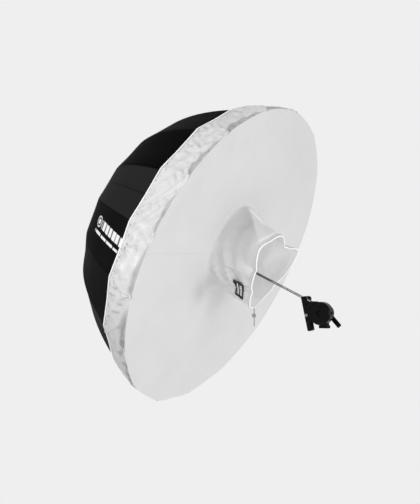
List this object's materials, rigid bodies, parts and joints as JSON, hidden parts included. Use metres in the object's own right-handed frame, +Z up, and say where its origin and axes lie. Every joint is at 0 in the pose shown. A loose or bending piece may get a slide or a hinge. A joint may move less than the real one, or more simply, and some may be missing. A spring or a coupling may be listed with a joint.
{
  "type": "umbrella reflector",
  "caption": "Deep photographic umbrella with black canopy, white front diffuser with a drawstring sleeve, folding rib frame and a tilting bracket for a light stand",
  "frame": {"origin": "mouth of the stand socket, on its axis, where the top of a light stand enters", "axes": "+Z up along the stand, -Y the side that the umbrella opens towards, X along the bracket's tilt axis"},
  "size_m": [1.0432, 0.8362, 0.9548],
  "materials": {
    "canopy_cloth": "matte",
    "diffuser_cloth": "matte",
    "shaft_steel": "polished",
    "rib_metal": "satin",
    "bracket_metal": "gloss",
    "hub_plastic": "matte",
    "cord_cloth": "matte",
    "screw_metal": "satin"
  },
  "bodies": {
    "bracket_base": {"stand_base": "bracket_metal", "tilt_washer": "screw_metal", "tilt_bolt": "screw_metal"},
    "bracket_head": {"tilt_head": "bracket_metal", "arm_screw": "screw_metal"},
    "lever": {"tilt_lever": "bracket_metal"},
    "clamp_screw": {"umbrella_clamp_screw": "bracket_metal"},
    "lock_screw": {"stand_lock_screw": "bracket_metal"},
    "umbrella": {"shaft": "shaft_steel", "shaft_cap": "hub_plastic", "crown": "hub_plastic", "crown_cap": "hub_plastic", "canopy": "canopy_cloth", "diffuser_front": "diffuser_cloth", "diffuser_skirt": "diffuser_cloth", "diffuser_sleeve": "diffuser_cloth", "drawstring": "cord_cloth", "drawstring_tail": "cord_cloth"},
    "runner_body": {"runner": "hub_plastic"},
    "runner_latch": {"runner_button": "screw_metal"},
    "cord_lock_body": {"cord_lock": "hub_plastic"},
    "cord_lock_press": {"cord_lock_button": "hub_plastic"},
    "rib_01_body": {"rib_01": "rib_metal"},
    "stretcher_01_body": {"stretcher_01": "rib_metal"},
    "rib_02_body": {"rib_02": "rib_metal"},
    "stretcher_02_body": {"stretcher_02": "rib_metal"},
    "rib_03_body": {"rib_03": "rib_metal"},
    "stretcher_03_body": {"stretcher_03": "rib_metal"},
    "rib_04_body": {"rib_04": "rib_metal"},
    "stretcher_04_body": {"stretcher_04": "rib_metal"},
    "rib_05_body": {"rib_05": "rib_metal"},
    "stretcher_05_body": {"stretcher_05": "rib_metal"},
    "rib_06_body": {"rib_06": "rib_metal"},
    "stretcher_06_body": {"stretcher_06": "rib_metal"},
    "rib_07_body": {"rib_07": "rib_metal"},
    "stretcher_07_body": {"stretcher_07": "rib_metal"},
    "rib_08_body": {"rib_08": "rib_metal"},
    "stretcher_08_body": {"stretcher_08": "rib_metal"},
    "rib_09_body": {"rib_09": "rib_metal"},
    "stretcher_09_body": {"stretcher_09": "rib_metal"},
    "rib_10_body": {"rib_10": "rib_metal"},
    "stretcher_10_body": {"stretcher_10": "rib_metal"},
    "rib_11_body": {"rib_11": "rib_metal"},
    "stretcher_11_body": {"stretcher_11": "rib_metal"},
    "rib_12_body": {"rib_12": "rib_metal"},
    "stretcher_12_body": {"stretcher_12": "rib_metal"},
    "rib_13_body": {"rib_13": "rib_metal"},
    "stretcher_13_body": {"stretcher_13": "rib_metal"},
    "rib_14_body": {"rib_14": "rib_metal"},
    "stretcher_14_body": {"stretcher_14": "rib_metal"},
    "rib_15_body": {"rib_15": "rib_metal"},
    "stretcher_15_body": {"stretcher_15": "rib_metal"},
    "rib_16_body": {"rib_16": "rib_metal"},
    "stretcher_16_body": {"stretcher_16": "rib_metal"}
  },
  "joints": [
    {"name": "tilt", "type": "hinge", "parent": "bracket_base", "child": "bracket_head", "pos_m": [0, 0, 0.048], "axis": [1, 0, 0], "range_deg": [-50, 25]},
    {"name": "lever_turn", "type": "hinge", "parent": "bracket_base", "child": "lever", "pos_m": [0.0268, 0, 0.048], "axis": [1, 0, 0], "range_deg": [-60, 20]},
    {"name": "clamp_screw_turn", "type": "hinge", "parent": "bracket_head", "child": "clamp_screw", "pos_m": [-0.023, 0.05537, 0.09272], "axis": [1, 0, 0], "range_deg": [0, 720]},
    {"name": "lock_screw_turn", "type": "hinge", "parent": "bracket_base", "child": "lock_screw", "pos_m": [0, 0, 0.019], "axis": [0.9397, 0.342, 0], "range_deg": [0, 720]},
    {"name": "shaft_slide", "type": "slide", "parent": "bracket_head", "child": "umbrella", "axis": [0, -0.9078, -0.4195], "range_m": [-0.07, 0]},
    {"name": "fold", "type": "slide", "parent": "umbrella", "child": "runner_body", "axis": [0, -0.9078, -0.4195], "range_m": [0, 0.0938], "deforming": ["canopy", "diffuser_front", "diffuser_skirt", "diffuser_sleeve", "drawstring", "drawstring_tail"]},
    {"name": "latch_press", "type": "slide", "parent": "runner_body", "child": "runner_latch", "axis": [0.9429, 0.1397, -0.3023], "range_m": [0, 0.0016], "stiffness_N_per_m": 300, "springref_m": -0.001},
    {"name": "rib_01_hinge", "type": "hinge", "parent": "umbrella", "child": "rib_01_body", "pos_m": [-0.0423, 0.70998, 0.39826], "axis": [0.1426, -0.4152, 0.8985], "range_deg": [-0.5, 30.5]},
    {"name": "stretcher_01_hinge", "type": "hinge", "parent": "rib_01_body", "child": "stretcher_01_body", "pos_m": [-0.19067, 0.69468, 0.41474], "axis": [0.1426, -0.4152, 0.8985], "range_deg": [-38.52, 0.5]},
    {"name": "rib_02_hinge", "type": "hinge", "parent": "umbrella", "child": "rib_02_body", "pos_m": [-0.03977, 0.70697, 0.40477], "axis": [0.5105, -0.3607, 0.7806], "range_deg": [-0.5, 30.5]},
    {"name": "stretcher_02_hinge", "type": "hinge", "parent": "rib_02_body", "child": "stretcher_02_body", "pos_m": [-0.16866, 0.66854, 0.47132], "axis": [0.5105, -0.3607, 0.7806], "range_deg": [-38.52, 0.5]},
    {"name": "rib_03_hinge", "type": "hinge", "parent": "umbrella", "child": "rib_03_body", "pos_m": [-0.03468, 0.70459, 0.40991], "axis": [0.8007, -0.2513, 0.5438], "range_deg": [-0.5, 30.5]},
    {"name": "stretcher_03_hinge", "type": "hinge", "parent": "rib_03_body", "child": "stretcher_03_body", "pos_m": [-0.12448, 0.64792, 0.51594], "axis": [0.8007, -0.2513, 0.5438], "range_deg": [-38.52, 0.5]},
    {"name": "rib_04_hinge", "type": "hinge", "parent": "umbrella", "child": "rib_04_body", "pos_m": [-0.02782, 0.70322, 0.41289], "axis": [0.969, -0.1036, 0.2242], "range_deg": [-0.5, 30.5]},
    {"name": "stretcher_04_hinge", "type": "hinge", "parent": "rib_04_body", "child": "stretcher_04_body", "pos_m": [-0.06484, 0.63596, 0.54182], "axis": [0.969, -0.1036, 0.2242], "range_deg": [-38.52, 0.5]},
    {"name": "rib_05_hinge", "type": "hinge", "parent": "umbrella", "child": "rib_05_body", "pos_m": [-0.02022, 0.70305, 0.41325], "axis": [0.9898, 0.0598, -0.1295], "range_deg": [-0.5, 30.5]},
    {"name": "stretcher_05_hinge", "type": "hinge", "parent": "rib_05_body", "child": "stretcher_05_body", "pos_m": [0.00116, 0.63449, 0.54501], "axis": [0.9898, 0.0598, -0.1295], "range_deg": [-38.52, 0.5]},
    {"name": "rib_06_hinge", "type": "hinge", "parent": "umbrella", "child": "rib_06_body", "pos_m": [-0.01304, 0.70411, 0.41095], "axis": [0.8599, 0.2141, -0.4635], "range_deg": [-0.5, 30.5]},
    {"name": "stretcher_06_hinge", "type": "hinge", "parent": "rib_06_body", "child": "stretcher_06_body", "pos_m": [0.06349, 0.64372, 0.52503], "axis": [0.8599, 0.2141, -0.4635], "range_deg": [-38.52, 0.5]},
    {"name": "rib_07_hinge", "type": "hinge", "parent": "umbrella", "child": "rib_07_body", "pos_m": [-0.00739, 0.70625, 0.40634], "axis": [0.599, 0.3359, -0.7269], "range_deg": [-0.5, 30.5]},
    {"name": "stretcher_07_hinge", "type": "hinge", "parent": "rib_07_body", "child": "stretcher_07_body", "pos_m": [0.11264, 0.66225, 0.48492], "axis": [0.599, 0.3359, -0.7269], "range_deg": [-38.52, 0.5]},
    {"name": "rib_08_hinge", "type": "hinge", "parent": "umbrella", "child": "rib_08_body", "pos_m": [-0.0041, 0.70912, 0.4001], "axis": [0.247, 0.4065, -0.8797], "range_deg": [-0.5, 30.5]},
    {"name": "stretcher_08_hinge", "type": "hinge", "parent": "rib_08_body", "child": "stretcher_08_body", "pos_m": [0.14115, 0.68726, 0.43079], "axis": [0.247, 0.4065, -0.8797], "range_deg": [-38.52, 0.5]},
    {"name": "rib_09_hinge", "type": "hinge", "parent": "umbrella", "child": "rib_09_body", "pos_m": [-0.0037, 0.71231, 0.39321], "axis": [-0.1426, 0.4152, -0.8985], "range_deg": [-0.5, 30.5]},
    {"name": "stretcher_09_hinge", "type": "hinge", "parent": "rib_09_body", "child": "stretcher_09_body", "pos_m": [0.14467, 0.71495, 0.37088], "axis": [-0.1426, 0.4152, -0.8985], "range_deg": [-38.52, 0.5]},
    {"name": "rib_10_hinge", "type": "hinge", "parent": "umbrella", "child": "rib_10_body", "pos_m": [-0.00623, 0.71532, 0.3867], "axis": [-0.5105, 0.3607, -0.7806], "range_deg": [-0.5, 30.5]},
    {"name": "stretcher_10_hinge", "type": "hinge", "parent": "rib_10_body", "child": "stretcher_10_body", "pos_m": [0.12266, 0.74109, 0.3143], "axis": [-0.5105, 0.3607, -0.7806], "range_deg": [-38.52, 0.5]},
    {"name": "rib_11_hinge", "type": "hinge", "parent": "umbrella", "child": "rib_11_body", "pos_m": [-0.01132, 0.71769, 0.38156], "axis": [-0.8007, 0.2513, -0.5438], "range_deg": [-0.5, 30.5]},
    {"name": "stretcher_11_hinge", "type": "hinge", "parent": "rib_11_body", "child": "stretcher_11_body", "pos_m": [0.07848, 0.76171, 0.26967], "axis": [-0.8007, 0.2513, -0.5438], "range_deg": [-38.52, 0.5]},
    {"name": "rib_12_hinge", "type": "hinge", "parent": "umbrella", "child": "rib_12_body", "pos_m": [-0.01818, 0.71907, 0.37858], "axis": [-0.969, 0.1036, -0.2242], "range_deg": [-0.5, 30.5]},
    {"name": "stretcher_12_hinge", "type": "hinge", "parent": "rib_12_body", "child": "stretcher_12_body", "pos_m": [0.01884, 0.77367, 0.2438], "axis": [-0.969, 0.1036, -0.2242], "range_deg": [-38.52, 0.5]},
    {"name": "rib_13_hinge", "type": "hinge", "parent": "umbrella", "child": "rib_13_body", "pos_m": [-0.02578, 0.71924, 0.37821], "axis": [-0.9898, -0.0598, 0.1295], "range_deg": [-0.5, 30.5]},
    {"name": "stretcher_13_hinge", "type": "hinge", "parent": "rib_13_body", "child": "stretcher_13_body", "pos_m": [-0.04716, 0.77514, 0.2406], "axis": [-0.9898, -0.0598, 0.1295], "range_deg": [-38.52, 0.5]},
    {"name": "rib_14_hinge", "type": "hinge", "parent": "umbrella", "child": "rib_14_body", "pos_m": [-0.03296, 0.71818, 0.38051], "axis": [-0.8599, -0.2141, 0.4635], "range_deg": [-0.5, 30.5]},
    {"name": "stretcher_14_hinge", "type": "hinge", "parent": "rib_14_body", "child": "stretcher_14_body", "pos_m": [-0.10949, 0.76591, 0.26058], "axis": [-0.8599, -0.2141, 0.4635], "range_deg": [-38.52, 0.5]},
    {"name": "rib_15_hinge", "type": "hinge", "parent": "umbrella", "child": "rib_15_body", "pos_m": [-0.03861, 0.71604, 0.38513], "axis": [-0.599, -0.3359, 0.7269], "range_deg": [-0.5, 30.5]},
    {"name": "stretcher_15_hinge", "type": "hinge", "parent": "rib_15_body", "child": "stretcher_15_body", "pos_m": [-0.15864, 0.74738, 0.30069], "axis": [-0.599, -0.3359, 0.7269], "range_deg": [-38.52, 0.5]},
    {"name": "rib_16_hinge", "type": "hinge", "parent": "umbrella", "child": "rib_16_body", "pos_m": [-0.0419, 0.71317, 0.39136], "axis": [-0.247, -0.4065, 0.8797], "range_deg": [-0.5, 30.5]},
    {"name": "stretcher_16_hinge", "type": "hinge", "parent": "rib_16_body", "child": "stretcher_16_body", "pos_m": [-0.18715, 0.72237, 0.35483], "axis": [-0.247, -0.4065, 0.8797], "range_deg": [-38.52, 0.5]},
    {"name": "cord_lock_slide", "type": "slide", "parent": "umbrella", "child": "cord_lock_body", "axis": [0, 0, 1], "range_m": [-0.018, 0.014]},
    {"name": "cord_lock_press", "type": "slide", "parent": "cord_lock_body", "child": "cord_lock_press", "axis": [1, 0, 0], "range_m": [0, 0.0003], "stiffness_N_per_m": 200, "springref_m": -0.001}
  ],
  "couplings": [
    {"joint": "rib_01_hinge", "follows": "fold", "rad_per_m": 5.5818},
    {"joint": "stretcher_01_hinge", "follows": "fold", "rad_per_m": -7.0743},
    {"joint": "rib_02_hinge", "follows": "fold", "rad_per_m": 5.5818},
    {"joint": "stretcher_02_hinge", "follows": "fold", "rad_per_m": -7.0743},
    {"joint": "rib_03_hinge", "follows": "fold", "rad_per_m": 5.5818},
    {"joint": "stretcher_03_hinge", "follows": "fold", "rad_per_m": -7.0743},
    {"joint": "rib_04_hinge", "follows": "fold", "rad_per_m": 5.5818},
    {"joint": "stretcher_04_hinge", "follows": "fold", "rad_per_m": -7.0743},
    {"joint": "rib_05_hinge", "follows": "fold", "rad_per_m": 5.5818},
    {"joint": "stretcher_05_hinge", "follows": "fold", "rad_per_m": -7.0743},
    {"joint": "rib_06_hinge", "follows": "fold", "rad_per_m": 5.5818},
    {"joint": "stretcher_06_hinge", "follows": "fold", "rad_per_m": -7.0743},
    {"joint": "rib_07_hinge", "follows": "fold", "rad_per_m": 5.5818},
    {"joint": "stretcher_07_hinge", "follows": "fold", "rad_per_m": -7.0743},
    {"joint": "rib_08_hinge", "follows": "fold", "rad_per_m": 5.5818},
    {"joint": "stretcher_08_hinge", "follows": "fold", "rad_per_m": -7.0743},
    {"joint": "rib_09_hinge", "follows": "fold", "rad_per_m": 5.5818},
    {"joint": "stretcher_09_hinge", "follows": "fold", "rad_per_m": -7.0743},
    {"joint": "rib_10_hinge", "follows": "fold", "rad_per_m": 5.5818},
    {"joint": "stretcher_10_hinge", "follows": "fold", "rad_per_m": -7.0743},
    {"joint": "rib_11_hinge", "follows": "fold", "rad_per_m": 5.5818},
    {"joint": "stretcher_11_hinge", "follows": "fold", "rad_per_m": -7.0743},
    {"joint": "rib_12_hinge", "follows": "fold", "rad_per_m": 5.5818},
    {"joint": "stretcher_12_hinge", "follows": "fold", "rad_per_m": -7.0743},
    {"joint": "rib_13_hinge", "follows": "fold", "rad_per_m": 5.5818},
    {"joint": "stretcher_13_hinge", "follows": "fold", "rad_per_m": -7.0743},
    {"joint": "rib_14_hinge", "follows": "fold", "rad_per_m": 5.5818},
    {"joint": "stretcher_14_hinge", "follows": "fold", "rad_per_m": -7.0743},
    {"joint": "rib_15_hinge", "follows": "fold", "rad_per_m": 5.5818},
    {"joint": "stretcher_15_hinge", "follows": "fold", "rad_per_m": -7.0743},
    {"joint": "rib_16_hinge", "follows": "fold", "rad_per_m": 5.5818},
    {"joint": "stretcher_16_hinge", "follows": "fold", "rad_per_m": -7.0743}
  ]
}
